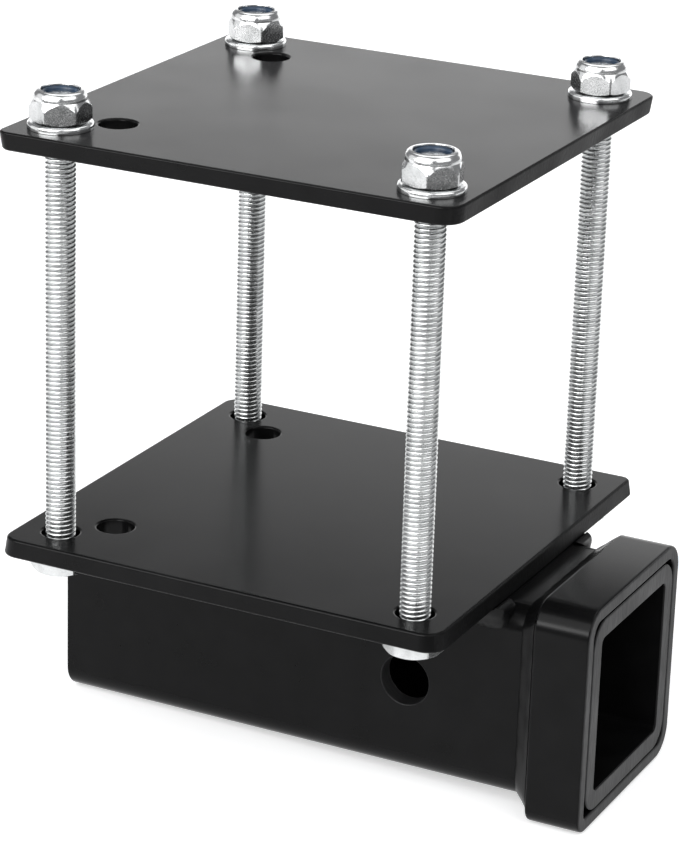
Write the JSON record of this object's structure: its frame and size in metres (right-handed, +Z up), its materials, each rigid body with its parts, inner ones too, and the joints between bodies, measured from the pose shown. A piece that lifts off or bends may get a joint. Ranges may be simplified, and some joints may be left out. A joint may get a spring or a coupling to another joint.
{
  "type": "bumper mount receiver hitch",
  "caption": "Square receiver tube with a collared mouth welded under a flat plate, and a second plate clamped over it on upright bolts, to grip a square bumper.",
  "frame": {"origin": "bottom centre of the outline: on the ground, halfway along the receiver tube and under its axis", "axes": "+X along the tube out of the receiver's mouth, +Z up along the bolts, +Y across the tube, along the bumper"},
  "size_m": [0.188, 0.154, 0.2207],
  "materials": {
    "black_coating": "satin black powder coat",
    "zinc_bolt": "bright zinc plate",
    "zinc_washer": "bright zinc plate",
    "zinc_nut": "bright zinc plate"
  },
  "bodies": {
    "receiver": {"receiver_tube": "black_coating", "receiver_collar": "black_coating", "collar_weld": "black_coating", "plate_weld_front": "black_coating", "plate_weld_back": "black_coating", "lower_plate": "black_coating", "bolt_1": "zinc_bolt", "bolt_2": "zinc_bolt", "bolt_3": "zinc_bolt", "bolt_4": "zinc_bolt"},
    "clamp_plate": {"upper_plate": "black_coating", "washer_1": "zinc_washer", "washer_2": "zinc_washer", "washer_3": "zinc_washer", "washer_4": "zinc_washer"},
    "nut_body_1": {"nut_1": "zinc_nut"},
    "nut_body_2": {"nut_2": "zinc_nut"},
    "nut_body_3": {"nut_3": "zinc_nut"},
    "nut_body_4": {"nut_4": "zinc_nut"}
  },
  "joints": [
    {"name": "clamp_slide", "type": "slide", "parent": "receiver", "child": "clamp_plate", "axis": [0, 0, 1], "range_m": [-0.1265, 0]},
    {"name": "nut_turn_1", "type": "hinge", "parent": "clamp_plate", "child": "nut_body_1", "pos_m": [-0.078, -0.0625, 0.2107], "axis": [0, 0, 1], "range_deg": [-30500, 0]},
    {"name": "nut_turn_2", "type": "hinge", "parent": "clamp_plate", "child": "nut_body_2", "pos_m": [-0.078, 0.0625, 0.2107], "axis": [0, 0, 1], "range_deg": [-30500, 0]},
    {"name": "nut_turn_3", "type": "hinge", "parent": "clamp_plate", "child": "nut_body_3", "pos_m": [0.047, -0.0625, 0.2107], "axis": [0, 0, 1], "range_deg": [-30500, 0]},
    {"name": "nut_turn_4", "type": "hinge", "parent": "clamp_plate", "child": "nut_body_4", "pos_m": [0.047, 0.0625, 0.2107], "axis": [0, 0, 1], "range_deg": [-30500, 0]}
  ],
  "couplings": [
    {"joint": "nut_turn_1", "follows": "clamp_slide", "rad_per_m": 4188.8},
    {"joint": "nut_turn_2", "follows": "clamp_slide", "rad_per_m": 4188.8},
    {"joint": "nut_turn_3", "follows": "clamp_slide", "rad_per_m": 4188.8},
    {"joint": "nut_turn_4", "follows": "clamp_slide", "rad_per_m": 4188.8}
  ]
}
